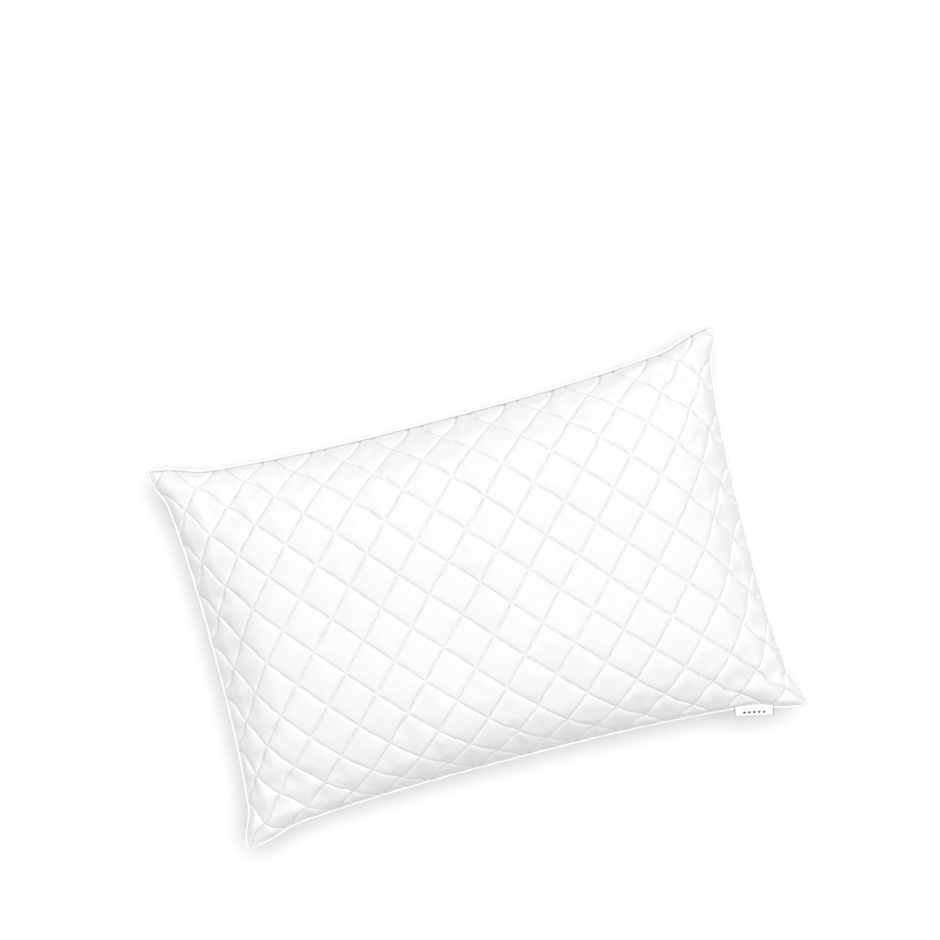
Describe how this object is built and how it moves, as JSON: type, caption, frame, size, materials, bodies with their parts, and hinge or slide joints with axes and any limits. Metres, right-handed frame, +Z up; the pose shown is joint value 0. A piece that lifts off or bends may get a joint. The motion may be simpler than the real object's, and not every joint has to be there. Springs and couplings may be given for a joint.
{
  "type": "bed pillow",
  "caption": "Queen-size white bed pillow with diamond-quilted panels, a piped seam, loose fibre fill and a small side label without lettering.",
  "frame": {"origin": "on the surface the pillow lies on, under the middle of its box", "axes": "+X along the pillow's length, label end positive; +Y across it, away from the long seam that holds the label; +Z up through its thickness"},
  "size_m": [0.731, 0.4958, 0.17],
  "materials": {
    "face_cloth": "matte white microfibre, fine plain weave",
    "quilt_wadding": "matte bonded polyester wadding",
    "backing_cloth": "matte thin nonwoven backing",
    "thread": "satin polyester thread",
    "fibre_fill": "matte crimped polyester fibre",
    "piping_cord": "matte twisted cotton cord",
    "label_ribbon": "satin woven ribbon, no lettering"
  },
  "bodies": {
    "pillow": {"top_face_cloth": "face_cloth", "bottom_face_cloth": "face_cloth", "top_quilting_thread": "thread", "bottom_quilting_thread": "thread", "top_wadding": "quilt_wadding", "bottom_wadding": "quilt_wadding", "top_backing_cloth": "backing_cloth", "bottom_backing_cloth": "backing_cloth", "fibre_fill": "fibre_fill", "piping_cover": "face_cloth", "piping_cord": "piping_cord", "seam_thread": "thread"},
    "label": {"side_label": "label_ribbon"}
  },
  "joints": [
    {"name": "label_flip", "type": "hinge", "parent": "pillow", "child": "label", "pos_m": [0.29708, -0.23449, 0.07681], "axis": [-0.9812, 0.1928, 0], "range_deg": [-80, 80], "stiffness_Nm_per_rad": 0.0007}
  ]
}
